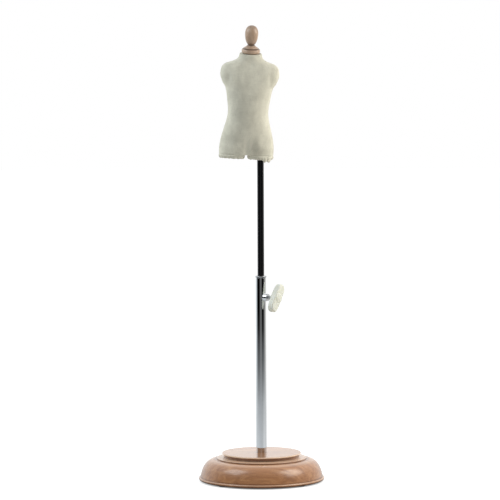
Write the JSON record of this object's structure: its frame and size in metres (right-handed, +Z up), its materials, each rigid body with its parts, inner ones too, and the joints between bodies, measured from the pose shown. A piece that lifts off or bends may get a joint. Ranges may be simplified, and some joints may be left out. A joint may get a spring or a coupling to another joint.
{
  "type": "dress form mannequin",
  "caption": "Half-scale child dress form: a cloth-covered torso with a neck cap and egg finial, turning on a height-adjustable rod in a clamped tube on a turned round base.",
  "frame": {"origin": "centre of the base's underside, where its feet stand on the floor", "axes": "+Z up along the column, -Y the way the form faces, +X towards the form's left side"},
  "size_m": [0.3, 0.3, 1.0902],
  "materials": {
    "base_beech": "clear lacquer, satin gloss",
    "base_disc_beech": "clear lacquer, gloss",
    "ballast_iron": "as cast, painted dark grey",
    "fastener_steel": "zinc plated",
    "foot_rubber": "matt",
    "tube_chrome": "polished",
    "bush_chrome": "satin",
    "boss_chrome": "polished",
    "pad_brass": "turned",
    "knob_ivory": "moulded, semi-gloss",
    "rod_black": "black gloss enamel",
    "nylon_white": "moulded",
    "core_foam": "rigid body, hidden by the cover",
    "cover_linen": "plain woven natural linen",
    "leg_board": "hardboard",
    "block_beech": "plain",
    "cap_beech": "turned, thin clear lacquer",
    "finial_beech": "turned, thin clear lacquer"
  },
  "bodies": {
    "stand": {"base_moulding": "base_beech", "base_top_disc": "base_disc_beech", "ballast_plate": "ballast_iron", "ballast_screw_1": "fastener_steel", "ballast_screw_2": "fastener_steel", "ballast_screw_3": "fastener_steel", "rubber_foot_1": "foot_rubber", "rubber_foot_2": "foot_rubber", "rubber_foot_3": "foot_rubber", "rubber_foot_4": "foot_rubber", "column_washer": "fastener_steel", "column_bolt": "fastener_steel", "tube_foot_plug": "fastener_steel", "outer_tube": "tube_chrome", "tube_top_bush": "bush_chrome", "clamp_boss": "boss_chrome"},
    "rod": {"inner_rod": "rod_black", "rod_guide": "nylon_white", "rod_top_cap": "nylon_white"},
    "form": {"torso_core": "core_foam", "torso_cover": "cover_linen", "left_leg_board": "leg_board", "right_leg_board": "leg_board", "rod_socket": "fastener_steel", "socket_bush": "nylon_white", "socket_screw_1": "fastener_steel", "socket_screw_2": "fastener_steel", "socket_screw_3": "fastener_steel", "neck_block": "block_beech", "neck_cap": "cap_beech", "finial": "finial_beech", "finial_stud": "fastener_steel"},
    "clamp_tip": {"clamp_pad": "pad_brass"},
    "clamp_knob": {"clamp_screw": "fastener_steel", "wing_knob": "knob_ivory"}
  },
  "joints": [
    {"name": "height_slide", "type": "slide", "parent": "stand", "child": "rod", "axis": [0, 0, 1], "range_m": [-0.25, 0.09]},
    {"name": "torso_swivel", "type": "hinge", "parent": "rod", "child": "form", "pos_m": [0, 0, 0.77], "axis": [0, 0, 1], "continuous": true},
    {"name": "clamp_travel", "type": "slide", "parent": "stand", "child": "clamp_tip", "axis": [0.8192, -0.5736, 0], "range_m": [0, 0.00251]},
    {"name": "clamp_turn", "type": "hinge", "parent": "clamp_tip", "child": "clamp_knob", "pos_m": [0, 0, 0.442], "axis": [0.8192, -0.5736, 0], "range_deg": [0, 720]}
  ],
  "couplings": [
    {"joint": "clamp_travel", "follows": "clamp_turn", "m_per_rad": 0.00019894}
  ]
}
